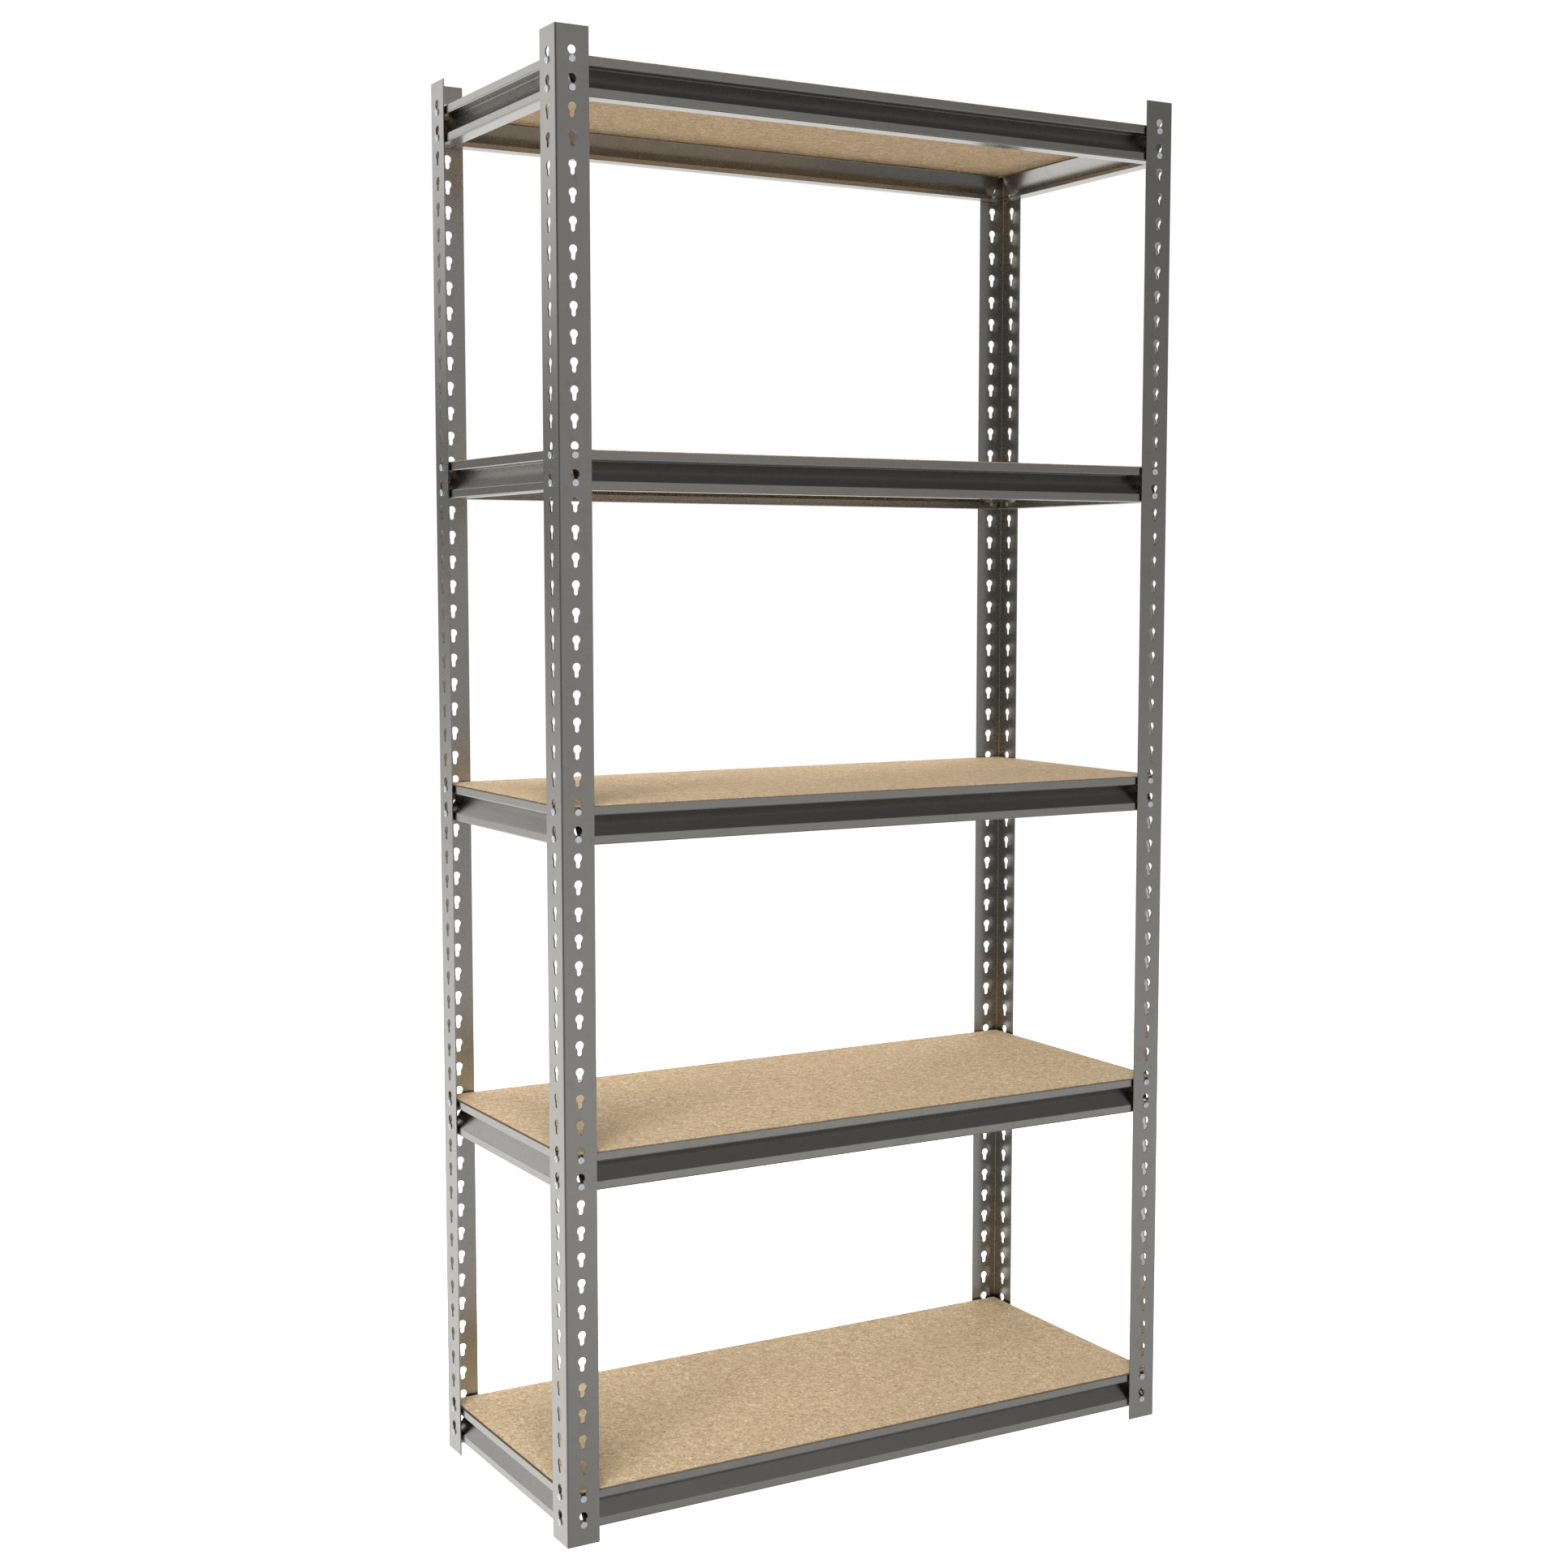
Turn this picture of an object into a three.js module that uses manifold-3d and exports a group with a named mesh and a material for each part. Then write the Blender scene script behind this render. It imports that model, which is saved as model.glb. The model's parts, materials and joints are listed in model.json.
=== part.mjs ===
// Boltless steel shelving: four keyholed angle posts and five shelves.
// Each shelf is a frame of four riveted beams that carries one loose board.
// Units are millimetres, +Z is up, -Y is the front, and the origin is on the
// floor under the middle of the unit.

import * as THREE from 'three';
import { mergeVertices } from 'three/addons/utils/BufferGeometryUtils.js';
import Module from 'manifold-3d';

const wasm = await Module();
wasm.setup();

// ---------------------------------------------------------------- dimensions

const INCH = 25.4;

// overall size over the posts
const WIDTH = 42 * INCH;
const DEPTH = 18 * INCH;
const HEIGHT = 84 * INCH;

// angle post
const FLANGE = 2 * INCH;        // width of each flange
const POST_T = 1.9;             // sheet thickness
const POST_BEND = 3.0;          // outside radius of the bend

// keyholes: a round opening above a narrow slot, in both flanges of a post
const PITCH = 1.5 * INCH;
const KEYHOLES = Math.round(HEIGHT / PITCH) - 1;
const HOLE_R = 6.25;
const HOLE_UP = 5.0;            // centre of the round part above its pitch line
const SLOT_W = 6.9;
const SLOT_DOWN = 9.9;          // bottom of the slot below its pitch line

// beam section
const LIP_GAP = 2.0;            // clear space between flange and beam
const LIP_OUT = POST_T + LIP_GAP;
const BEAM_T = 1.5;
const BEAM_TOP = -0.7;          // top edge, from the pitch line of its upper rivet
const BEAM_H = 54.3;
const LIP_H = 12.8;             // upper lip
const LOWER_LIP = 12.5;
const LEDGE = 19.0;             // how far the board ledge reaches in
const FOOT_FLANGE = 25.4;       // how far the bottom flange reaches in
const LIP_END = 12.0;           // end of the lips, in from the outside of the posts
const CUT_BACK = 27.0;          // end of the ledge and the web
const FLANGE_CUT = 30.0;        // end of the bottom flange, which clears the beam round the corner

// rivets, staked in the beam lips, two at each beam end
const SHANK_R = 2.4;
const HEAD_R = 5.15;
const HEAD_T = 2.0;
const HEAD_CLEAR = 0.3;         // under the head, outside the flange
const SEAT_CLEAR = 0.3;         // under the shank, in the slot
const RIVET_Z = -SLOT_DOWN + SHANK_R + SEAT_CLEAR;

// board
const BOARD_T = 0.5 * INCH;
const BOARD_IN = 7.0;           // board edge, in from the outside of the posts
const BOARD_REST = 0.3;         // gap that keeps board and ledge apart

// pitch line of each shelf's upper rivets, counted down from the post top,
// from the lowest shelf to the highest
const SHELF_HOLES = [54, 41, 28, 15, 1];

// ------------------------------------------------------------------- helpers

function solidOf(geometry) {
  const bare = geometry.index ? geometry.toNonIndexed() : geometry.clone();
  bare.deleteAttribute('normal');
  bare.deleteAttribute('uv');
  const welded = mergeVertices(bare, 1e-4);
  return new wasm.Manifold(new wasm.Mesh({
    numProp: 3,
    vertProperties: new Float32Array(welded.attributes.position.array),
    triVerts: new Uint32Array(welded.index.array),
  }));
}

function geometryOf(solid) {
  const mesh = solid.getMesh();
  const geometry = new THREE.BufferGeometry();
  geometry.setAttribute('position', new THREE.BufferAttribute(mesh.vertProperties, 3));
  geometry.setIndex(new THREE.BufferAttribute(mesh.triVerts, 1));
  const flat = geometry.toNonIndexed();
  flat.computeVertexNormals();
  return flat;
}

function extrude(shapes, depth) {
  return new THREE.ExtrudeGeometry(shapes, { depth, bevelEnabled: false, curveSegments: 4 });
}

function mirrored(solid, signX, signY) {
  let out = solid;
  if (signX < 0) out = out.mirror([1, 0, 0]);
  if (signY < 0) out = out.mirror([0, 1, 0]);
  return out;
}

// ---------------------------------------------------------------------- post

// Outline of one keyhole, x across the flange and y up, about its pitch line.
function keyhole(x, y) {
  const half = SLOT_W / 2;
  const neck = Math.asin(half / HOLE_R);
  const path = new THREE.Path();
  const points = [new THREE.Vector2(x - half + 0.5, y - SLOT_DOWN), new THREE.Vector2(x + half - 0.5, y - SLOT_DOWN)];
  const steps = 4;
  for (let i = 0; i <= steps; i++) {
    const a = neck - Math.PI / 2 + (2 * Math.PI - 2 * neck) * (i / steps);
    points.push(new THREE.Vector2(x + HOLE_R * Math.cos(a), y + HOLE_UP + HOLE_R * Math.sin(a)));
  }
  path.setFromPoints(points);
  return path;
}

// All the keyholes of one flange, as cutters standing through a plate in XY.
function keyholeCutters() {
  const shapes = [];
  for (let k = 1; k <= KEYHOLES; k++) {
    shapes.push(new THREE.Shape(keyhole(FLANGE / 2, HEIGHT - k * PITCH).getPoints()));
  }
  return extrude(shapes, 3 * POST_T);
}

// The flange of a post that lies along +X, when the post's corner is at the
// origin, with its half of the bend. The two flanges of a post are nodes of
// their own, which meet in the middle of the bend, so that collision follows
// the angle.
function flangeSolid() {
  const inner = POST_BEND - POST_T;
  const fold = -3 * Math.PI / 4;
  const section = new THREE.Shape();
  section.moveTo(POST_BEND, 0);
  section.lineTo(FLANGE, 0);
  section.lineTo(FLANGE, POST_T);
  section.lineTo(POST_BEND, POST_T);
  section.absarc(POST_BEND, POST_BEND, inner, -Math.PI / 2, fold, true);
  section.absarc(POST_BEND, POST_BEND, POST_BEND, fold, -Math.PI / 2, false);
  const cut = keyholeCutters();
  cut.rotateX(Math.PI / 2);
  cut.translate(0, 2 * POST_T, 0);
  return solidOf(extrude(section, HEIGHT)).subtract(solidOf(cut));
}

// ---------------------------------------------------------------------- beam

// Section of a beam: x is how far in from the outer lip face, y is height
// from the pitch line. A lip, a ledge for the board, a web that slopes back
// out, a second lip and a bottom flange.
function beamSection() {
  const t = BEAM_T;
  const top = BEAM_TOP;
  const ledge = top - LIP_H;
  const bottom = top - BEAM_H;
  const web = bottom + LOWER_LIP;
  const lean = Math.atan2(LEDGE - t, ledge - web);
  const wall = t / Math.cos(lean);
  return new THREE.Shape([
    new THREE.Vector2(0, top),
    new THREE.Vector2(0, ledge),
    new THREE.Vector2(LEDGE - t, ledge),
    new THREE.Vector2(0, web),
    new THREE.Vector2(0, bottom),
    new THREE.Vector2(FOOT_FLANGE, bottom),
    new THREE.Vector2(FOOT_FLANGE, bottom + t),
    new THREE.Vector2(t, bottom + t),
    new THREE.Vector2(t, web - (wall - t) * 0.4),
    new THREE.Vector2(LEDGE + wall - t, ledge),
    new THREE.Vector2(LEDGE + wall - t, ledge + t),
    new THREE.Vector2(t, ledge + t),
    new THREE.Vector2(t, top),
  ].reverse());
}

// Rivet along -Y, from inside the lip to its head outside the flange.
function rivet(x, z) {
  const root = -(LIP_OUT + BEAM_T / 2);
  const profile = [
    new THREE.Vector2(0, root),
    new THREE.Vector2(SHANK_R, root),
    new THREE.Vector2(SHANK_R, HEAD_CLEAR),
    new THREE.Vector2(HEAD_R, HEAD_CLEAR),
    new THREE.Vector2(HEAD_R, HEAD_CLEAR + HEAD_T),
    new THREE.Vector2(0, HEAD_CLEAR + HEAD_T),
  ];
  const body = new THREE.LatheGeometry(profile, 6);
  body.rotateX(Math.PI);
  body.translate(x, 0, z);
  return body;
}

// A beam along X for a frame side of the given outside length. Its outside
// plane is Y = 0 (the outer face of the post flanges), inward is +Y, and its
// upper rivets' pitch line is Z = 0. Its lips run on past the rivets, and the
// rest is cut back square.
function beamSolid(length) {
  const body = extrude(beamSection(), length - 2 * LIP_END);
  body.rotateX(Math.PI / 2);
  body.rotateZ(Math.PI / 2);
  body.translate(LIP_END - length / 2, LIP_OUT, 0);
  let beam = solidOf(body);
  for (const side of [-1, 1]) {
    for (const [cut, height, z] of [[CUT_BACK, 2 * BEAM_H, BEAM_TOP - BEAM_H / 2], [FLANGE_CUT, 4 * BEAM_T, BEAM_TOP - BEAM_H]]) {
      const notch = new THREE.BoxGeometry(cut, 2 * FOOT_FLANGE, height);
      notch.translate(side * (length - cut) / 2, LIP_OUT + BEAM_T + FOOT_FLANGE, z);
      beam = beam.subtract(solidOf(notch));
    }
  }
  const reach = length / 2 - FLANGE / 2;
  for (const x of [-reach, reach]) {
    for (const z of [RIVET_Z, RIVET_Z - PITCH]) {
      beam = beam.add(solidOf(rivet(x, z)));
    }
  }
  return beam;
}

// --------------------------------------------------------------------- build

const group = new THREE.Group();
group.name = 'boltless_shelving';

function paint() {
  return new THREE.MeshStandardMaterial({ color: 0x74736f, roughness: 0.5, metalness: 0.35 });
}

function chipboard() {
  return new THREE.MeshStandardMaterial({ color: 0xc4ab83, roughness: 0.9, metalness: 0 });
}

function add(name, geometry, material, x = 0, y = 0, z = 0) {
  const mesh = new THREE.Mesh(geometry, material);
  mesh.name = name;
  mesh.position.set(x, y, z);
  group.add(mesh);
}

const flangeX = flangeSolid();
const flangeY = flangeX.mirror([1, -1, 0]);
for (const [side, signY] of [['front', -1], ['back', 1]]) {
  for (const [hand, signX] of [['left', -1], ['right', 1]]) {
    for (const [way, flange] of [['x', flangeX], ['y', flangeY]]) {
      const placed = mirrored(flange, -signX, -signY);
      add(`post_${side}_${hand}_flange_${way}`, geometryOf(placed), paint(), signX * WIDTH / 2, signY * DEPTH / 2, 0);
    }
  }
}

const longBeam = beamSolid(WIDTH);
const shortBeam = beamSolid(DEPTH);
SHELF_HOLES.forEach((hole, i) => {
  const z = HEIGHT - hole * PITCH;
  const n = i + 1;
  add(`front_beam_${n}`, geometryOf(longBeam), paint(), 0, -DEPTH / 2, z);
  add(`back_beam_${n}`, geometryOf(longBeam.rotate([0, 0, 180])), paint(), 0, DEPTH / 2, z);
  add(`left_beam_${n}`, geometryOf(shortBeam.rotate([0, 0, -90])), paint(), -WIDTH / 2, 0, z);
  add(`right_beam_${n}`, geometryOf(shortBeam.rotate([0, 0, 90])), paint(), WIDTH / 2, 0, z);
  const board = new THREE.BoxGeometry(WIDTH - 2 * BOARD_IN, DEPTH - 2 * BOARD_IN, BOARD_T);
  const ledgeTop = BEAM_TOP - LIP_H + BEAM_T;
  add(`board_${n}`, board, chipboard(), 0, 0, z + ledgeTop + BOARD_REST + BOARD_T / 2);
});

export default group;
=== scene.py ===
"""Boltless steel shelving: four keyholed angle posts and five shelves.

Each shelf is a frame of four folded and riveted beams that carries one loose
particle board. Lengths in the shape code are millimetres, and objects are in
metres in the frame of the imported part.
"""

import json
import math

import bmesh  # noqa: E402
import bpy  # noqa: E402
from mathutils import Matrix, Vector  # noqa: E402

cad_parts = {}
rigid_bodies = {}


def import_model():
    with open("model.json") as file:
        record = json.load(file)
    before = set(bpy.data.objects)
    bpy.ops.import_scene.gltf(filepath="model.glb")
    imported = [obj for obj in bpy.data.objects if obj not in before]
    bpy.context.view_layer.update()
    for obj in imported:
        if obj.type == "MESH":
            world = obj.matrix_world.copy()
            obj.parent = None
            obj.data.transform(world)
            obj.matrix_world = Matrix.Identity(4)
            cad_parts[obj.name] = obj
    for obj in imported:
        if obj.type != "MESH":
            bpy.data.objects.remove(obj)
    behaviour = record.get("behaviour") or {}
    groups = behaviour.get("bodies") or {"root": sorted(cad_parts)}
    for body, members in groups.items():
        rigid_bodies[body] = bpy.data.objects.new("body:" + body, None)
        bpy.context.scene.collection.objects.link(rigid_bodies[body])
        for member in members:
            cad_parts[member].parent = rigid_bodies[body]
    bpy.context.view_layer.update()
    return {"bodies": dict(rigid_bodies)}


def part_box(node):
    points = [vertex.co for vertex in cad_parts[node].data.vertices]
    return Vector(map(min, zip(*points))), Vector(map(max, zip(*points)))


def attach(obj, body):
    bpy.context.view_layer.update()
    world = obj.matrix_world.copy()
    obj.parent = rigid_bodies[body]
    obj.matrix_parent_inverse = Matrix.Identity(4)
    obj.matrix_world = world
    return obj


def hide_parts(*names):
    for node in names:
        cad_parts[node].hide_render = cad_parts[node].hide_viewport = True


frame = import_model()

MM = 0.001

# ------------------------------------------------------------------ dimensions

# overall size over the posts, from the CAD posts
POST_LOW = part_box("post_front_left_flange_x")[0]
POST_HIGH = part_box("post_back_right_flange_x")[1]
SIDE_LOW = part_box("post_front_left_flange_y")[0]
SIDE_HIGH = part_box("post_back_right_flange_y")[1]
WIDTH = (SIDE_HIGH.x - SIDE_LOW.x) / MM
DEPTH = (POST_HIGH.y - POST_LOW.y) / MM
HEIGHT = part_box("post_front_left_flange_x")[1].z / MM
SHELVES = sum(name.startswith("shelf_frame_") for name in frame["bodies"])

# angle post
FLANGE = 50.8
POST_T = 1.9
POST_BEND = 3.0  # outside radius

# keyholes
PITCH = 38.1
KEYHOLES = round(HEIGHT / PITCH) - 1
HOLE_R = 6.25
HOLE_UP = 5.0  # centre of the round part above its pitch line
HOLE_FROM = 42  # where the round part starts, in degrees from its lowest point
HOLE_STEPS = 8
SLOT_R = 3.35  # half the slot's width, and the radius of its bottom
SLOT_DOWN = 9.9  # bottom of the slot below its pitch line
SLOT_STEPS = 4
# where the slot widens: (out from the slot's side, height from the pitch line)
SHOULDER = ((0.0, -4.2), (0.05, -2.2), (0.35, -0.7))

# beam section, u inwards from the outer lip face and z from the pitch line
LIP_OUT = POST_T + 2.0  # outer lip face, in from the outside of the posts
BEAM_T = 1.5
BEAM_TOP = -0.7
LEDGE_Z = -13.5
WEB_Z = -42.5
BEAM_BOTTOM = -55.0
LEDGE_U = 17.5
FOOT_U = 25.4
BEND_OUT = 2.0  # radius on the outer side of a beam's bends
BEND_IN = BEND_OUT - BEAM_T

# beam ends, in from the outside of the posts
LIP_END = 12.0  # lips
CUT_BACK = 27.0  # ledge and web
FLANGE_CUT = 30.0  # bottom flange
# u where the cut starts and where it is full, behind the lips
NOTCH_FROM, NOTCH_TO = 0.6, 1.6

# rivets
SHANK_R = 2.4
HEAD_R = 5.15
HEAD_CLEAR = 0.3
HEAD_T = 2.0
HEAD_EASE = 0.2  # eased edge on the underside of the head
TAIL_R = 3.3
TAIL_T = 1.2
RIVET_Z = -7.2
RIVET_STEPS = 24
# (radius, depth behind the head's foremost plane): dimple, ring and rounded rim
HEAD_PROFILE = (
    (0, 0.75),
    (1.0, 0.75),
    (1.25, 0.55),
    (1.5, 0.1),
    (1.8, 0.0),
    (2.75, 0.05),
    (2.95, 0.4),
    (3.3, 0.45),
    (3.5, 0.15),
    (3.75, 0.1),
    (4.6, 0.3),
    (HEAD_R - 0.1, 0.75),
    (HEAD_R, 1.1),
)
# (radius, distance behind the lip): shank, upset collar and the dent in its end
TAIL_PROFILE = (
    (SHANK_R, -0.4),
    (TAIL_R, -0.3),
    (TAIL_R, TAIL_T - 0.5),
    (TAIL_R - 0.6, TAIL_T),
    (1.3, TAIL_T),
    (1.0, TAIL_T - 0.5),
    (0, TAIL_T - 0.5),
)

# meshes
BOARD_EASE = 0.5  # eased edges of a board
EDGE = 0.3  # eased edge of a cut sheet
STRIP = 0.4  # narrow flat strip beside a bend, which keeps its shading true
CELL = 8  # mesh steps along each side of the square round a keyhole
ARC = 6  # mesh steps round a bend
SHARP = 35  # edges bent by more degrees than this are shaded sharp

# ------------------------------------------------------------------ appearance

WHITE = (1, 1, 1, 1)

PAINT_LOW = (0.45, 0.442, 0.416, 1)
PAINT_HIGH = (0.485, 0.476, 0.448, 1)
PAINT_CLOUD = (0.43, 0.422, 0.398, 1)
PAINT_SMUDGE = (0.36, 0.352, 0.332, 1)
PAINT_STREAK = (0.53, 0.522, 0.5, 1)
# scale of the rolling streaks across and along the sheet
STREAK_ACROSS, STREAK_ALONG = 160, 3

ZINC_LOW = (0.74, 0.79, 0.84, 1)
ZINC_HIGH = (0.95, 0.97, 0.99, 1)

CHIP_BASE = (0.58, 0.43, 0.262, 1)
CHIP_TONES = (
    (0.0, (0.25, 0.165, 0.095)),
    (0.2, (0.43, 0.305, 0.175)),
    (0.5, (0.58, 0.43, 0.262)),
    (0.8, (0.71, 0.56, 0.375)),
    (1.0, (0.92, 0.81, 0.63)),
)
# layers of chips: turn about Z, scale on X, Y and Z, and strength
CHIP_LAYERS = (
    (0.5, (340, 210, 250), 0.9),
    (-0.9, (300, 190, 250), 0.8),
    (2.1, (620, 420, 500), 0.75),
)
CHIP_WANDER = (0.012, 0.012, 0.012)  # how far the chips' outlines are bent
CHIP_DUST = (0.75, 0.61, 0.42, 1)
CHIP_GRAIN = (0.3, 0.2, 0.115, 1)
CHIP_LIGHT = (0.72, 0.57, 0.38, 1)
CHIP_DARK = (0.43, 0.315, 0.185, 1)
CHIP_CLOUD = (0.53, 0.405, 0.25, 1)
# dark brown of the sawn edges: partly their own colour, partly painted shade of the gap between
# board and lip
SAWN_EDGE_AND_GAP_SHADE = (0.13, 0.085, 0.05, 1)

FLOOR_LOW = (0.93, 0.93, 0.93, 1)
FLOOR_HIGH = (0.95, 0.95, 0.95, 1)
FLOOR_HALF = 9.0  # half the floor's side, in metres
FLOOR_GLOW = 1.0  # light the floor adds where the camera sees it

# brightness of the room on each side: (sine of the elevation, value)
SKY_BACK = (
    (-1, 1.1),
    (-0.24, 1.12),
    (-0.15, 1.0),
    (-0.09, 0.7),
    (-0.04, 0.45),
    (0.045, 0.04),
    (0.09, 0.29),
    (0.145, 0.84),
    (0.21, 1.25),
    (0.31, 0.33),
    (0.38, 0.32),
    (0.45, 0.03),
    (1, 0.06),
)
SKY_RIGHT = (
    (-1, 0.16),
    (-0.5, 0.2),
    (-0.4, 0.38),
    (-0.34, 0.51),
    (-0.24, 0.65),
    (-0.15, 0.46),
    (0.0, 0.41),
    (0.12, 0.44),
    (0.22, 0.44),
    (0.54, 0.34),
    (0.61, 0.14),
    (0.82, 0.1),
    (0.9, 0.05),
    (1, 0.05),
)
SKY_FAR_RIGHT = (
    (-1, 0.16),
    (-0.5, 0.2),
    (-0.34, 0.45),
    (-0.24, 0.6),
    (-0.15, 0.42),
    (0.0, 0.28),
    (0.12, 0.17),
    (0.35, 0.16),
    (0.57, 0.1),
    (0.65, 0.06),
    (0.9, 0.02),
    (1, 0.05),
)
SKY_LEFT = (
    (-1, 0.4),
    (-0.4, 0.35),
    (-0.15, 0.2),
    (0.15, 0.17),
    (0.35, 0.12),
    (1, 0.06),
)

# name, position, aim, side in metres and power in watts
SOFTBOXES = (
    ("overhead", (-0.3, 0.9, 4.2), (0, 0, 1), 1.8, 60),
    ("panel_front", (-2.3, -2.9, 2.5), (0, 0, 0.9), 3.2, 265),
    ("panel_back", (2.2, 2.8, 2.5), (0, 0, 0.9), 3.2, 60),
)

# camera, in metres, millimetres of film and radians
CAMERA_AT = (-1.8478, -3.1291, 1.3845)
CAMERA_DOWN = 0.0893
CAMERA_HEADING = -0.5229
CAMERA_LENS = 52.57
CAMERA_FILM = 36

# ------------------------------------------------------------------- mesh code


def add_object(name, data):
    obj = bpy.data.objects.new(name, data)
    bpy.context.scene.collection.objects.link(obj)
    return obj


class Shell:
    """Points in millimetres and faces with a smooth flag, gathered for one mesh."""

    def __init__(self):
        self.points, self.faces = [], []

    def point(self, p):
        self.points.append(p)
        return len(self.points) - 1

    def loop(self, points):
        return [self.point(p) for p in points]

    def face(self, corners, smooth=False):
        self.faces.append((tuple(corners), smooth))

    def bridge(self, a, b, smooth=False):
        """A band of faces between two closed loops."""
        for i in range(len(a)):
            j = (i + 1) % len(a)
            self.face((a[i], a[j], b[j], b[i]), smooth)

    def bridge_all(self, loops, smooth=False):
        for a, b in zip(loops, loops[1:]):
            self.bridge(a, b, smooth)

    def place(self, move):
        """A copy with every point moved by a function."""
        copy = Shell()
        copy.points = [move(p) for p in self.points]
        copy.faces = list(self.faces)
        return copy

    def add(self, other):
        start = len(self.points)
        self.points += other.points
        self.faces += [(tuple(c + start for c in f), s) for f, s in other.faces]

    def piece(self, name, material):
        mesh = bpy.data.meshes.new(name)
        points = [(x * MM, y * MM, z * MM) for x, y, z in self.points]
        mesh.from_pydata(points, [], [f for f, _ in self.faces])
        mesh.polygons.foreach_set("use_smooth", [s for _, s in self.faces])
        outward(mesh)
        mesh.set_sharp_from_angle(angle=math.radians(SHARP))
        mesh.materials.append(material)
        return add_object(name, mesh)


def outward(mesh):
    """Turns the faces of a closed mesh to face out."""
    work = bmesh.new()
    work.from_mesh(mesh)
    bmesh.ops.recalc_face_normals(work, faces=work.faces)
    work.to_mesh(mesh)
    work.free()


def hole_square(i0, j0):
    """Grid points round a keyhole's square, from the middle of its bottom side."""
    half = CELL // 2
    square = [(i0 + half + k, j0) for k in range(half)]
    square += [(i0 + CELL, j0 + k) for k in range(CELL)]
    square += [(i0 + CELL - k, j0 + CELL) for k in range(CELL)]
    square += [(i0, j0 + CELL - k) for k in range(CELL)]
    return square + [(i0 + k, j0) for k in range(half)]


def grid_border(last_i, last_j):
    """Grid points round the whole sheet."""
    around = [(i, 0) for i in range(last_i)]
    around += [(last_i, j) for j in range(last_j)]
    around += [(i, last_j) for i in range(last_i, 0, -1)]
    return around + [(0, j) for j in range(last_j, 0, -1)]


def folded_sheet(stations, rims, rows, ends, thickness, place, holes=()):
    """A folded sheet as a closed shell.

    A station is (point, inward normal, bent) across the fold on the outside
    face, where bent says that the strip up to the next station is shaded
    smooth. The sheet is swept over rows. rims are the stations of its two free
    edges and ends its two end rows, and the edges between are eased. A hole is
    (first station, first row, station function, outline), and the outline has
    4 * CELL points, each (across, along, eased across, eased along).
    """
    shell = Shell()
    made = {}
    last_i, last_j = len(stations) - 1, len(rows) - 1

    def at(i, j, side):
        if (i, j, side) not in made:
            made[i, j, side] = shell.point(place(stations[i], rows[j], side * thickness))
        return made[i, j, side]

    taken = set()
    for i0, j0, station_of, outline in holes:
        taken.update((i0 + i, j0 + j) for i in range(CELL) for j in range(CELL))
        square = hole_square(i0, j0)
        rings = []
        for depth, eased in ((0, 1), (EDGE, 0), (thickness - EDGE, 0), (thickness, 1)):
            across, along = 2 * eased, 2 * eased + 1
            rings.append(
                shell.loop(place(station_of(p[across]), p[along], depth) for p in outline)
            )
        shell.bridge([at(i, j, 0) for i, j in square], rings[0])
        shell.bridge([at(i, j, 1) for i, j in square], rings[-1])
        shell.bridge_all(rings, smooth=True)

    for i in range(last_i):
        for j in range(last_j):
            if (i, j) in taken:
                continue
            for side in (0, 1):
                corners = ((i, j), (i + 1, j), (i + 1, j + 1), (i, j + 1))
                shell.face([at(*corner, side) for corner in corners], stations[i][2])

    rings = [[], [], [], []]
    for i, j in grid_border(last_i, last_j):
        station = {0: rims[0], last_i: rims[1]}.get(i, stations[i])
        row = {0: ends[0], last_j: ends[1]}.get(j, rows[j])
        rings[0].append(at(i, j, 0))
        rings[1].append(shell.point(place(station, row, EDGE)))
        rings[2].append(shell.point(place(station, row, thickness - EDGE)))
        rings[3].append(at(i, j, 1))
    shell.bridge_all(rings)
    return shell


def lathe(profile):
    """A closed body turned about Y: the profile is (radius, y), from axis to axis."""
    shell = Shell()
    turns = [2 * math.pi * k / RIVET_STEPS for k in range(RIVET_STEPS)]
    rings = [
        shell.loop((r * math.cos(a), y, r * math.sin(a)) for a in turns)
        for r, y in profile[1:-1]
    ]
    shell.bridge_all(rings, smooth=True)
    for ring, (_, y) in ((rings[0], profile[0]), (rings[-1], profile[-1])):
        tip = shell.point((0, y, 0))
        for k in range(RIVET_STEPS):
            shell.face((ring[k], ring[(k + 1) % RIVET_STEPS], tip), smooth=True)
    return shell


# ----------------------------------------------------------------------- posts


def keyhole_outline(across, along, direction):
    """A keyhole about its pitch line, from the bottom of the slot all the way round."""
    half = [(0.0, -SLOT_DOWN)]
    bottom = SLOT_R - SLOT_DOWN
    for k in range(1, SLOT_STEPS + 1):
        a = math.radians(90 * k / SLOT_STEPS)
        half.append((SLOT_R * math.sin(a), bottom - SLOT_R * math.cos(a)))
    half += [(SLOT_R + out, z) for out, z in SHOULDER]
    first = math.radians(HOLE_FROM)
    for k in range(HOLE_STEPS + 1):
        a = first + (math.pi - first) * k / HOLE_STEPS
        half.append((HOLE_R * math.sin(a), HOLE_UP - HOLE_R * math.cos(a)))
    ring = half + [(-x, z) for x, z in reversed(half[1:-1])]
    outline = []
    for k, (x, z) in enumerate(ring):
        (x0, z0), (x1, z1) = ring[k - 1], ring[(k + 1) % len(ring)]
        length = math.hypot(x1 - x0, z1 - z0)
        eased_x = x + EDGE * (z1 - z0) / length
        eased_z = z - EDGE * (x1 - x0) / length
        outline.append(
            (across + direction * x, along + z, across + direction * eased_x, along + eased_z)
        )
    return outline


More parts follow.
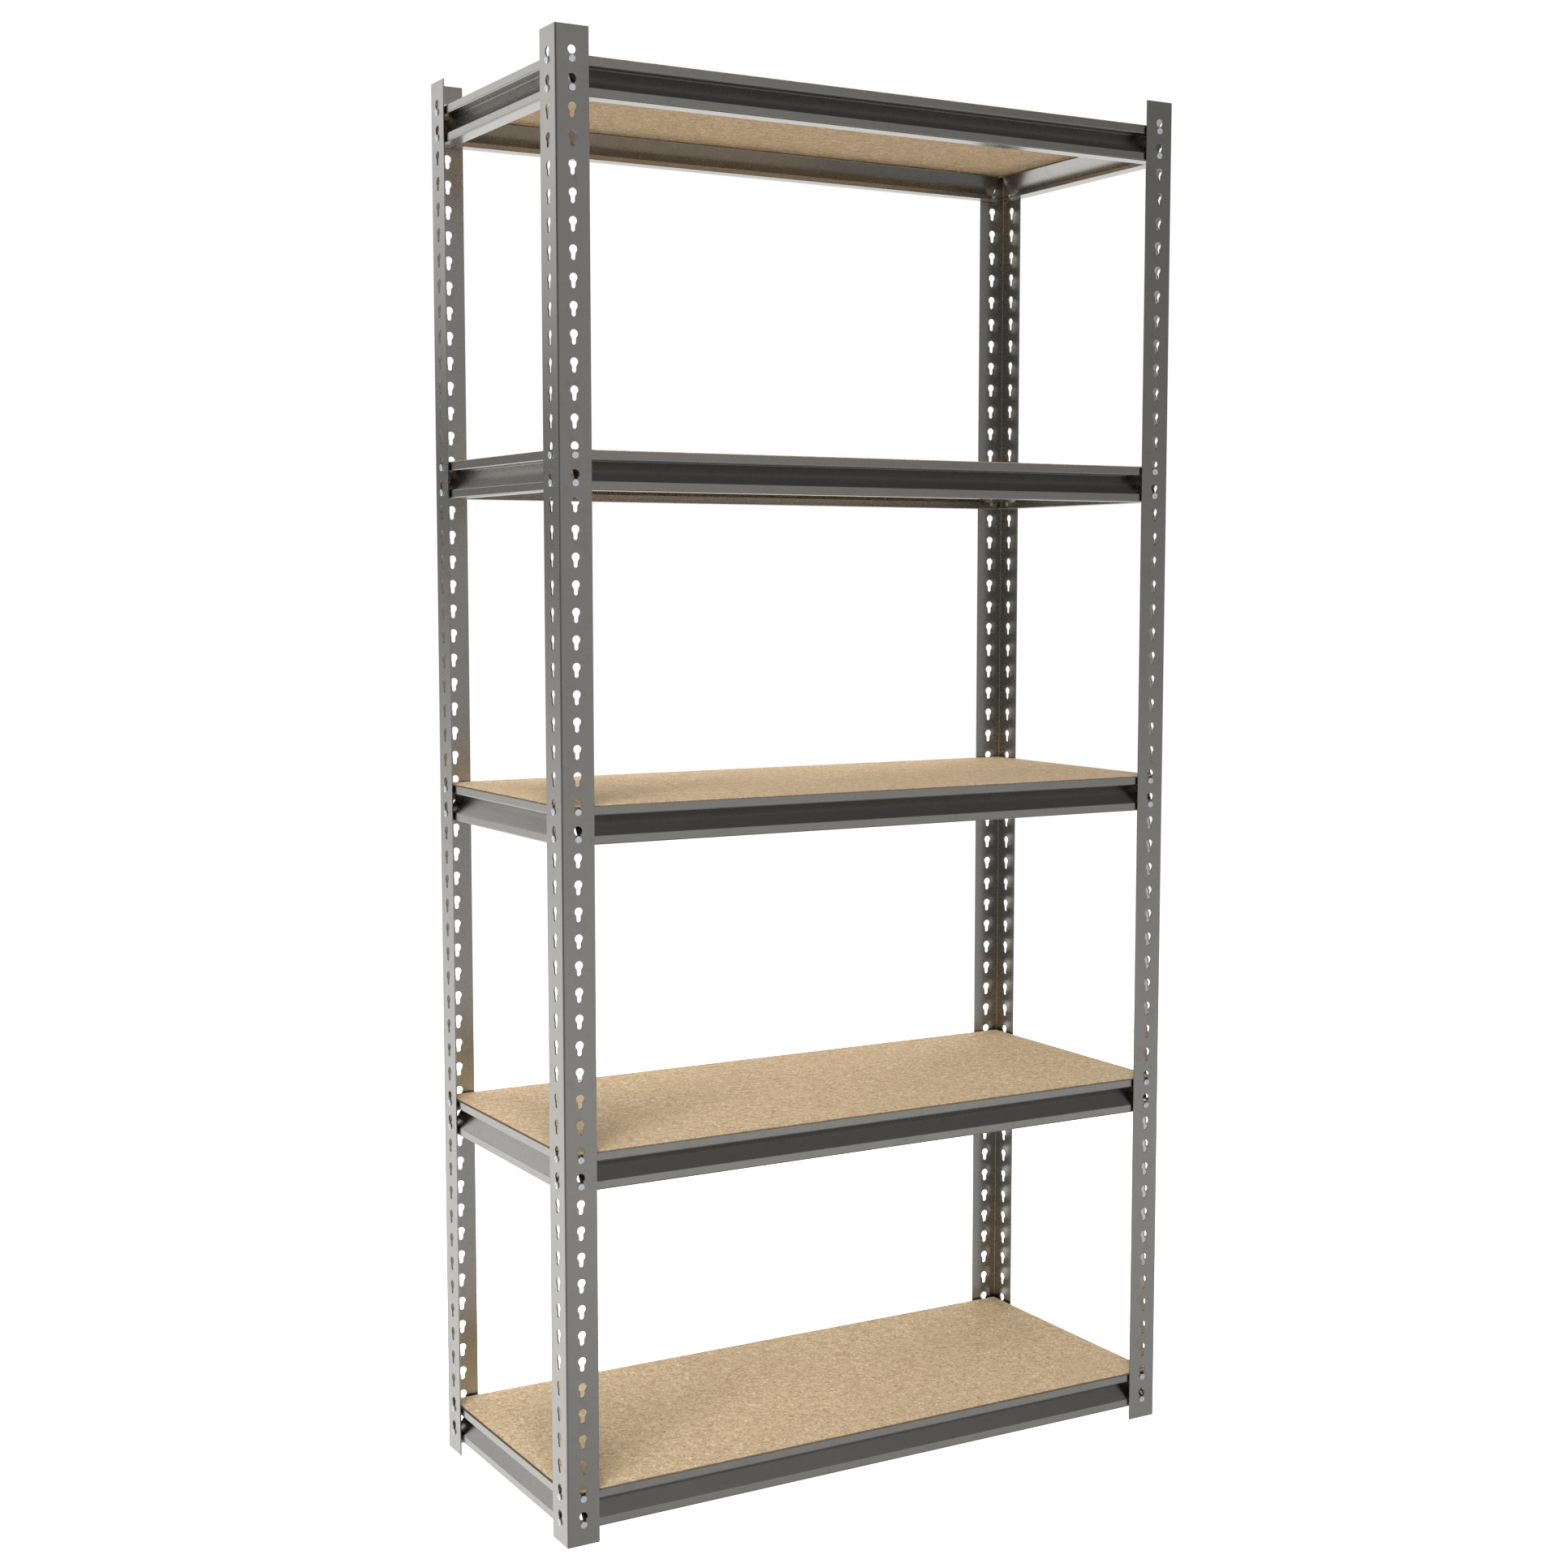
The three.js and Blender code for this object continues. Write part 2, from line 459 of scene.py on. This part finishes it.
def post_shell():
    """A post with its corner at the origin and its flanges along +X and +Y."""
    inner = POST_BEND + STRIP
    outer = FLANGE - EDGE
    across = [outer + (inner - outer) * k / CELL for k in range(CELL + 1)]

    def front(p, bent=False):
        return (p, 0.0), (0.0, 1.0), bent

    def side(p, bent=False):
        return (0.0, p), (1.0, 0.0), bent

    stations = [front(p, p == across[-1]) for p in across]
    for k in range(ARC + 1):
        a = math.radians(90 * k / ARC)
        n = (math.sin(a), math.cos(a))
        stations.append(((POST_BEND * (1 - n[0]), POST_BEND * (1 - n[1])), n, True))
    side_from = len(stations)
    stations += [side(p) for p in reversed(across)]

    base = HEIGHT - (KEYHOLES + 0.5) * PITCH
    rows = [base + PITCH * k / CELL for k in range(KEYHOLES * CELL + 1)]
    rows = [EDGE, *rows, HEIGHT - EDGE]

    holes = []
    for k in range(KEYHOLES):
        z = base + (k + 0.5) * PITCH
        j = 1 + k * CELL
        holes.append((0, j, front, keyhole_outline(FLANGE / 2, z, -1)))
        holes.append((side_from, j, side, keyhole_outline(FLANGE / 2, z, 1)))

    def place(station, z, depth):
        (x, y), (nx, ny), _ = station
        return (x + nx * depth, y + ny * depth, z)

    rims = (front(FLANGE), side(FLANGE))
    return folded_sheet(stations, rims, rows, (0, HEIGHT), POST_T, place, holes)


# ----------------------------------------------------------------------- beams


def unit(a, b):
    length = math.hypot(b[0] - a[0], b[1] - a[1])
    return ((b[0] - a[0]) / length, (b[1] - a[1]) / length)


def left(d):
    return (-d[1], d[0])


def along(point, direction, distance):
    return (point[0] + direction[0] * distance, point[1] + direction[1] * distance)


def corner_stations(before, here, after):
    """Stations round one corner of a bent path, with a narrow strip on each side."""
    d1, d2 = unit(before, here), unit(here, after)
    turn = math.atan2(d1[0] * d2[1] - d1[1] * d2[0], d1[0] * d2[0] + d1[1] * d2[1])
    sign, radius = (1, BEND_OUT) if turn > 0 else (-1, BEND_IN)
    n = left(d1)
    start = along(here, d1, -radius * math.tan(abs(turn) / 2))
    centre = along(start, n, radius * sign)
    stations = [(along(start, d1, -STRIP), n, True)]
    for i in range(ARC + 1):
        c, s = math.cos(turn * i / ARC), math.sin(turn * i / ARC)
        m = (n[0] * c - n[1] * s, n[0] * s + n[1] * c)
        stations.append((along(centre, m, -radius * sign), m, True))
    stations.append((along(stations[-1][0], d2, STRIP), left(d2), False))
    return stations


def bend_stations(path):
    """Stations of a bent path, with its corners rounded and its ends eased."""
    d1, d2 = unit(*path[:2]), unit(*path[-2:])
    stations = [(along(path[0], d1, EDGE), left(d1), False)]
    for corner in zip(path, path[1:], path[2:]):
        stations += corner_stations(*corner)
    stations.append((along(path[-1], d2, -EDGE), left(d2), False))
    return stations


def split_web(stations):
    """Adds a station to the sloping web, where the cut at its ends is full."""
    split = []
    for station in stations:
        if split:
            (u0, z0), normal, bent = split[-1]
            u1, z1 = station[0]
            if u0 > NOTCH_TO > u1:
                part = (u0 - NOTCH_TO) / (u0 - u1)
                split.append(((NOTCH_TO, z0 + (z1 - z0) * part), normal, bent))
        split.append(station)
    return split


def beam_shell(length):
    """A beam along X: the outside of the posts is Y = 0, inwards is +Y."""
    path = [
        (0.0, BEAM_TOP),
        (0.0, LEDGE_Z),
        (LEDGE_U, LEDGE_Z),
        (0.0, WEB_Z),
        (0.0, BEAM_BOTTOM),
        (FOOT_U, BEAM_BOTTOM),
    ]
    stations = split_web(bend_stations(path))
    rims = ((path[0], (1.0, 0.0), False), (path[-1], (0.0, 1.0), False))
    lower_lip = (WEB_Z + BEAM_BOTTOM) / 2

    def place(station, end, depth):
        (u, z), (nu, nz), _ = station
        notch = min(max((u - NOTCH_FROM) / (NOTCH_TO - NOTCH_FROM), 0), 1)
        cut = FLANGE_CUT if z < lower_lip else CUT_BACK
        x = length / 2 - LIP_END - notch * (cut - LIP_END)
        return (end * x, LIP_OUT + u + nu * depth, z + nz * depth)

    return folded_sheet(stations, rims, (-1, 1), (-1, 1), BEAM_T, place)


def rivet_shell():
    """A rivet along Y: head outside at -Y, shank through slot and lip, and tail."""
    face = -HEAD_CLEAR - HEAD_T
    under = -HEAD_CLEAR
    lip = LIP_OUT + BEAM_T
    profile = [(r, face + y) for r, y in HEAD_PROFILE]
    profile += [(HEAD_R, under - HEAD_EASE), (HEAD_R - HEAD_EASE, under), (SHANK_R, under)]
    profile += [(r, lip + y) for r, y in TAIL_PROFILE]
    return lathe(profile)


def rivets_shell(length):
    """The four rivets of a beam, two at each end."""
    one, four = rivet_shell(), Shell()
    reach = length / 2 - FLANGE / 2
    for x in (-reach, reach):
        for z in (RIVET_Z, RIVET_Z - PITCH):
            four.add(one.place(lambda p, x=x, z=z: (p[0] + x, p[1], p[2] + z)))
    return four


# ---------------------------------------------------------------------- boards


def board_shell(lo, hi):
    """A board with eased edges, between two opposite corners."""
    shell = Shell()
    ease = BOARD_EASE
    rings = []
    for inset, z in ((ease, lo.z), (0, lo.z + ease), (0, hi.z - ease), (ease, hi.z)):
        x0, x1, y0, y1 = lo.x + inset, hi.x - inset, lo.y + inset, hi.y - inset
        rings.append(shell.loop([(x0, y0, z), (x1, y0, z), (x1, y1, z), (x0, y1, z)]))
    shell.bridge_all(rings)
    shell.face(rings[0])
    shell.face(rings[-1])
    return shell


# ------------------------------------------------------------------- materials


class Nodes:
    """Short ways to build a node tree."""

    def __init__(self, tree):
        self.tree = tree
        tree.nodes.clear()

    def feed(self, socket, value):
        """Links another node's output, or sets a plain value."""
        if isinstance(value, bpy.types.NodeSocket):
            self.tree.links.new(value, socket)
        else:
            socket.default_value = value

    def add(self, kind, inputs=None, **settings):
        node = self.tree.nodes.new(kind)
        for name, value in settings.items():
            setattr(node, name, value)
        for name, value in (inputs or {}).items():
            self.feed(node.inputs[name], value)
        return node

    def noise(self, vector, scale, detail=2.0, roughness=0.5):
        node = self.add(
            "ShaderNodeTexNoise",
            {"Vector": vector, "Scale": scale, "Detail": detail, "Roughness": roughness},
        )
        return node.outputs["Fac"]

    def stretch(self, vector, scale):
        node = self.add("ShaderNodeMapping", {"Vector": vector, "Scale": scale})
        return node.outputs["Vector"]

    def ramp(self, value, stops):
        """A colour or grey against a value, from stops in rising order."""
        node = self.add("ShaderNodeValToRGB", {"Fac": value})
        elements = node.color_ramp.elements
        for k, (position, colour) in enumerate((stops[0], stops[-1], *stops[1:-1])):
            element = elements[k] if k < 2 else elements.new(position)
            element.position = position
            rgb = colour if isinstance(colour, tuple) else (colour,) * 3
            element.color = (*rgb, 1)
        return node.outputs["Color"]

    def mix(self, factor, a, b):
        node = self.add("ShaderNodeMix", data_type="RGBA")
        sockets = {socket.identifier: socket for socket in node.inputs}
        self.feed(sockets["Factor_Float"], factor)
        self.feed(sockets["A_Color"], a)
        self.feed(sockets["B_Color"], b)
        return next(s for s in node.outputs if s.identifier == "Result_Color")

    def spread(self, value, start, end, low=0, high=1):
        """Maps a value between start and end to low and high, and no further."""
        node = self.add(
            "ShaderNodeMapRange",
            {"Value": value, "From Min": start, "From Max": end, "To Min": low, "To Max": high},
        )
        return node.outputs["Result"]

    def math(self, operation, a, b=0.0):
        node = self.add("ShaderNodeMath", operation=operation)
        self.feed(node.inputs[0], a)
        self.feed(node.inputs[1], b)
        return node.outputs[0]

    def vector_math(self, operation, a, b):
        node = self.add("ShaderNodeVectorMath", {0: a, 1: b}, operation=operation)
        return node.outputs[0]

    def bump(self, height, strength, distance):
        node = self.add(
            "ShaderNodeBump", {"Height": height, "Strength": strength, "Distance": distance}
        )
        return node.outputs["Normal"]


def new_material(name):
    material = bpy.data.materials.new(name)
    material.use_nodes = True
    nodes = Nodes(material.node_tree)
    shader = nodes.add("ShaderNodeBsdfPrincipled")
    nodes.add("ShaderNodeOutputMaterial", {"Surface": shader.outputs["BSDF"]})
    place = nodes.add("ShaderNodeTexCoord").outputs["Object"]
    return material, nodes, shader, place


def link(nodes, shader, **sockets):
    for name, value in sockets.items():
        nodes.tree.links.new(value, shader.inputs[name.replace("_", " ")])


def grey_paint(name, grain):
    """Smooth satin metallic grey, with fine speckle, smudges and rolling streaks.

    grain is the scale of the long streaks on X, Y and Z.
    """
    material, nodes, shader, place = new_material(name)
    speckle = nodes.noise(place, scale=1100, detail=3)
    cloud = nodes.noise(place, scale=14, detail=3)
    smudge = nodes.noise(place, scale=55, detail=4, roughness=0.6)
    streak = nodes.noise(nodes.stretch(place, grain), scale=1.0, detail=3)
    tone = nodes.mix(nodes.spread(speckle, 0.3, 0.7), PAINT_LOW, PAINT_HIGH)
    tone = nodes.mix(nodes.spread(cloud, 0.35, 0.7, high=0.3), tone, PAINT_CLOUD)
    tone = nodes.mix(nodes.spread(smudge, 0.56, 0.74, high=0.45), tone, PAINT_SMUDGE)
    tone = nodes.mix(nodes.spread(streak, 0.62, 0.8, high=0.25), tone, PAINT_STREAK)
    satin = nodes.noise(place, scale=500, detail=2)
    rough = nodes.spread(satin, 0.3, 0.7, low=0.25, high=0.275)
    peel = nodes.noise(place, scale=1400, detail=2)
    normal = nodes.bump(peel, strength=0.05, distance=0.0001)
    link(nodes, shader, Base_Color=tone, Roughness=rough, Normal=normal)
    shader.inputs["Metallic"].default_value = 1.0
    return material


def zinc():
    """Bright zinc plate with a light bluish cast and a mottled tone."""
    material, nodes, shader, place = new_material("zinc_plate")
    patch = nodes.noise(place, scale=500, detail=3)
    tone = nodes.mix(nodes.spread(patch, 0.35, 0.65), ZINC_LOW, ZINC_HIGH)
    satin = nodes.noise(place, scale=900, detail=2)
    rough = nodes.spread(satin, 0.3, 0.7, low=0.22, high=0.38)
    grit = nodes.noise(place, scale=1500, detail=2)
    normal = nodes.bump(grit, strength=0.1, distance=0.0001)
    link(nodes, shader, Base_Color=tone, Roughness=rough, Normal=normal)
    shader.inputs["Metallic"].default_value = 0.85
    return material


def particle_board():
    """Pressed wood chips of mixed tan, each a few millimetres long."""
    material, nodes, shader, place = new_material("particle_board")
    tone = CHIP_BASE
    wander = nodes.add("ShaderNodeTexNoise", {"Vector": place, "Scale": 90.0, "Detail": 2.0})
    shift = nodes.vector_math("MULTIPLY", wander.outputs["Color"], CHIP_WANDER)
    bent = nodes.vector_math("ADD", place, shift)
    heights = []
    for turn, scale, strength in CHIP_LAYERS:
        turned = nodes.add(
            "ShaderNodeVectorRotate", {"Vector": bent, "Angle": turn}, rotation_type="Z_AXIS"
        ).outputs[0]
        stretched = nodes.stretch(turned, scale)
        cells = nodes.add("ShaderNodeTexVoronoi", {"Vector": stretched, "Scale": 1.0})
        pick = nodes.add("ShaderNodeSeparateColor", {"Color": cells.outputs["Color"]}).outputs
        chip = nodes.ramp(pick[0], CHIP_TONES)
        tone = nodes.mix(nodes.spread(pick[1], 0.45, 0.6, high=strength), tone, chip)
        heights.append(pick[0])
    dust = nodes.noise(place, scale=1500, detail=3)
    tone = nodes.mix(nodes.spread(dust, 0.4, 0.75, high=0.4), tone, CHIP_DUST)
    grain = nodes.noise(place, scale=420, detail=3)
    tone = nodes.mix(nodes.spread(grain, 0.56, 0.72, high=0.7), tone, CHIP_GRAIN)
    mottle = nodes.noise(place, scale=75, detail=3)
    tone = nodes.mix(nodes.spread(mottle, 0.5, 0.7, high=0.4), tone, CHIP_LIGHT)
    tone = nodes.mix(nodes.spread(mottle, 0.5, 0.3, high=0.4), tone, CHIP_DARK)
    cloud = nodes.noise(place, scale=11, detail=3)
    tone = nodes.mix(nodes.spread(cloud, 0.4, 0.7, high=0.25), tone, CHIP_CLOUD)

    # the sawn edges face sideways and are darker than the two wide faces: partly the sawn edge's
    # own colour, partly painted shade of the narrow gap between board and lip
    normal = nodes.add("ShaderNodeTexCoord").outputs["Normal"]
    upright = nodes.add("ShaderNodeSeparateXYZ", {"Vector": normal}).outputs["Z"]
    wide_face = nodes.spread(nodes.math("ABSOLUTE", upright), 0.4, 0.9)
    tone = nodes.mix(wide_face, nodes.mix(0.8, tone, SAWN_EDGE_AND_GAP_SHADE), tone)

    fibres = nodes.noise(place, scale=900, detail=3)
    height = nodes.math("ADD", nodes.math("MULTIPLY", heights[0], 0.4), fibres)
    link(nodes, shader, Base_Color=tone, Normal=nodes.bump(height, strength=0.35, distance=0.0003))
    shader.inputs["Roughness"].default_value = 0.85
    shader.inputs["Specular IOR Level"].default_value = 0.2
    return material


PAINT_POST = grey_paint("grey_paint_post", (STREAK_ACROSS, STREAK_ACROSS, STREAK_ALONG))
PAINT_LONG = grey_paint("grey_paint_long_beam", (STREAK_ALONG, STREAK_ACROSS, STREAK_ACROSS))
PAINT_SHORT = grey_paint("grey_paint_short_beam", (STREAK_ACROSS, STREAK_ALONG, STREAK_ACROSS))
ZINC = zinc()
BOARD = particle_board()

# ---------------------------------------------------------------------- pieces


def finish_piece(obj, body, slot, *nodes):
    """Puts a piece on the body it rides on and hides the CAD nodes it replaces; slot, its finish,
    is not used.
    """
    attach(obj, body)
    if nodes:
        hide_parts(*nodes)


def make_posts():
    post = post_shell()
    for depth_name, sy in (("front", -1), ("back", 1)):
        for hand, sx in (("left", -1), ("right", 1)):
            node = f"post_{depth_name}_{hand}"
            x0, y0 = sx * WIDTH / 2, sy * DEPTH / 2

            def stand(p, x0=x0, y0=y0, sx=sx, sy=sy):
                return (x0 - sx * p[0], y0 - sy * p[1], p[2])

            piece = post.place(stand).piece("steel_" + node, PAINT_POST)
            finish_piece(piece, "posts", "grey_paint", node + "_flange_x", node + "_flange_y")


def make_shelves():
    long_beam, short_beam = beam_shell(WIDTH), beam_shell(DEPTH)
    long_rivets, short_rivets = rivets_shell(WIDTH), rivets_shell(DEPTH)
    # beam, rivets, paint, (cosine, sine) of the turn about Z, and position
    sides = {
        "front": (long_beam, long_rivets, PAINT_LONG, (1, 0), (0, -DEPTH / 2)),
        "back": (long_beam, long_rivets, PAINT_LONG, (-1, 0), (0, DEPTH / 2)),
        "left": (short_beam, short_rivets, PAINT_SHORT, (0, -1), (-WIDTH / 2, 0)),
        "right": (short_beam, short_rivets, PAINT_SHORT, (0, 1), (WIDTH / 2, 0)),
    }
    for n in range(1, SHELVES + 1):
        pitch_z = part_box(f"front_beam_{n}")[1].z / MM - BEAM_TOP
        body = f"shelf_frame_{n}"
        for side, (beam, rivets, paint, (c, s), (x0, y0)) in sides.items():
            node = f"{side}_beam_{n}"

            def stand(p, c=c, s=s, x0=x0, y0=y0, z0=pitch_z):
                return (x0 + c * p[0] - s * p[1], y0 + s * p[0] + c * p[1], z0 + p[2])

            folded = beam.place(stand).piece("folded_" + node, paint)
            finish_piece(folded, body, "grey_paint", node)
            finish_piece(rivets.place(stand).piece(f"rivets_{side}_{n}", ZINC), body, "zinc")
        lo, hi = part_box(f"board_{n}")
        board = board_shell(lo / MM, hi / MM).piece(f"chip_board_{n}", BOARD)
        finish_piece(board, f"shelf_board_{n}", "particle_board", f"board_{n}")


# ----------------------------------------------------------------------- stage


def make_floor():
    """A matt floor that glows for the camera only, so that it shows as white."""
    material, nodes, shader, place = new_material("pale_floor")
    tone = nodes.mix(nodes.noise(place, scale=3, detail=3), FLOOR_LOW, FLOOR_HIGH)
    seen = nodes.add("ShaderNodeLightPath").outputs["Is Camera Ray"]
    glow = nodes.math("MULTIPLY", seen, FLOOR_GLOW)
    link(nodes, shader, Base_Color=tone, Emission_Strength=glow)
    shader.inputs["Roughness"].default_value = 0.9
    shader.inputs["Specular IOR Level"].default_value = 0.1
    shader.inputs["Emission Color"].default_value = WHITE
    mesh = bpy.data.meshes.new("floor")
    turns = ((-1, -1), (1, -1), (1, 1), (-1, 1))
    corners = [(x * FLOOR_HALF, y * FLOOR_HALF, 0) for x, y in turns]
    mesh.from_pydata(corners, [], [(0, 1, 2, 3)])
    mesh.materials.append(material)
    obj = add_object("floor", mesh)
    obj.visible_glossy = False


def make_world():
    """A room that lights the steel by reflection. The camera sees it as plain white."""
    sky = bpy.data.worlds.new("studio")
    bpy.context.scene.world = sky
    sky.use_nodes = True
    nodes = Nodes(sky.node_tree)
    direction = nodes.add("ShaderNodeTexCoord").outputs["Generated"]
    parts = nodes.add("ShaderNodeSeparateXYZ", {"Vector": direction}).outputs
    rise = nodes.spread(parts["Z"], -1, 1)

    def side(sky_stops):
        return nodes.ramp(rise, [((sine + 1) / 2, value) for sine, value in sky_stops])

    right = nodes.mix(nodes.spread(parts["X"], 0.4, 0.62), side(SKY_RIGHT), side(SKY_FAR_RIGHT))
    front = nodes.mix(nodes.spread(parts["X"], 0.0, 0.33), side(SKY_LEFT), right)
    room = nodes.mix(nodes.spread(parts["Y"], -0.25, 0.3), front, side(SKY_BACK))
    ray = nodes.add("ShaderNodeLightPath").outputs["Is Camera Ray"]
    seen = nodes.mix(ray, room, WHITE)
    background = nodes.add("ShaderNodeBackground", {"Color": seen, "Strength": 1.0})
    nodes.add("ShaderNodeOutputWorld", {"Surface": background.outputs[0]})


def make_softbox(name, position, aim, size, power):
    """A square light that lights matt surfaces and is not mirrored in the steel."""
    light = bpy.data.lights.new(name, "AREA")
    light.size = size
    light.energy = power
    obj = add_object(name, light)
    obj.location = position
    toward = Vector(aim) - Vector(position)
    obj.rotation_euler = toward.to_track_quat("-Z", "Y").to_euler()
    obj.visible_glossy = False


def make_camera():
    data = bpy.data.cameras.new("camera")
    data.sensor_width = CAMERA_FILM
    data.lens = CAMERA_LENS
    obj = add_object("camera", data)
    obj.location = CAMERA_AT
    obj.rotation_euler = (math.pi / 2 - CAMERA_DOWN, 0, CAMERA_HEADING)
    bpy.context.scene.camera = obj


make_posts()
make_shelves()
make_floor()
make_world()
for softbox in SOFTBOXES:
    make_softbox(*softbox)
make_camera()
bpy.context.scene.view_settings.view_transform = "Standard"
